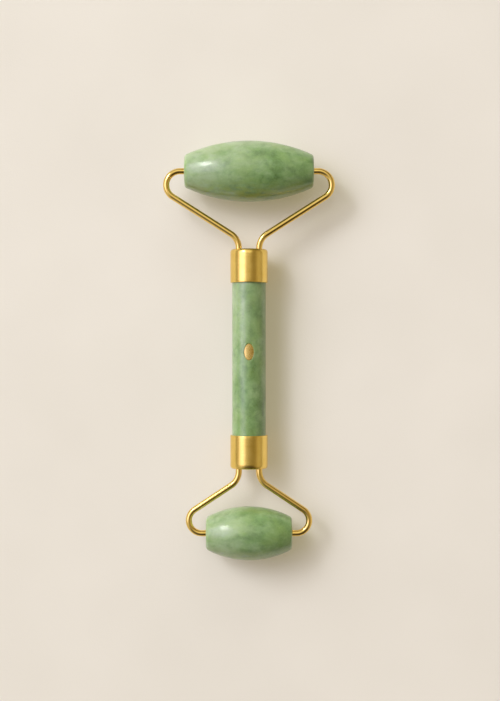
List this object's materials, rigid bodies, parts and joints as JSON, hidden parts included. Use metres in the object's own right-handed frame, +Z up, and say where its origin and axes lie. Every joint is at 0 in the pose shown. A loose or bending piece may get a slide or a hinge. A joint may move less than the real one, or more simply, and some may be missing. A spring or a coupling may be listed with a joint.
{
  "type": "jade face roller",
  "caption": "Double-ended hand-held face massage roller: a round stone handle with a free-turning barrel-shaped stone in a wire yoke at each end.",
  "frame": {"origin": "centre of the whole outline seen from above, on the level that the large roller's belly rests on", "axes": "+Y along the handle towards the large roller, +X along both roller axles, +Z up, square to the flat of the wire arms"},
  "size_m": [0.0602, 0.1467, 0.0213],
  "materials": {
    "jade_stone": "polished",
    "gold_metal": "polished",
    "nylon_sleeve": "satin",
    "set_resin": "gloss"
  },
  "bodies": {
    "frame": {"handle_stone": "jade_stone", "handle_inlay": "gold_metal", "large_collar": "gold_metal", "small_collar": "gold_metal", "large_collar_resin": "set_resin", "small_collar_resin": "set_resin", "large_yoke_left_arm": "gold_metal", "large_yoke_right_arm": "gold_metal", "small_yoke_left_arm": "gold_metal", "small_yoke_right_arm": "gold_metal"},
    "large_roller": {"large_roller_stone": "jade_stone", "large_roller_left_sleeve": "nylon_sleeve", "large_roller_right_sleeve": "nylon_sleeve"},
    "small_roller": {"small_roller_stone": "jade_stone", "small_roller_left_sleeve": "nylon_sleeve", "small_roller_right_sleeve": "nylon_sleeve"}
  },
  "joints": [
    {"name": "large_roller_spin", "type": "hinge", "parent": "frame", "child": "large_roller", "pos_m": [0, 0.06275, 0.01065], "axis": [1, 0, 0], "continuous": true},
    {"name": "small_roller_spin", "type": "hinge", "parent": "frame", "child": "small_roller", "pos_m": [0, -0.06395, 0.01065], "axis": [1, 0, 0], "continuous": true}
  ]
}
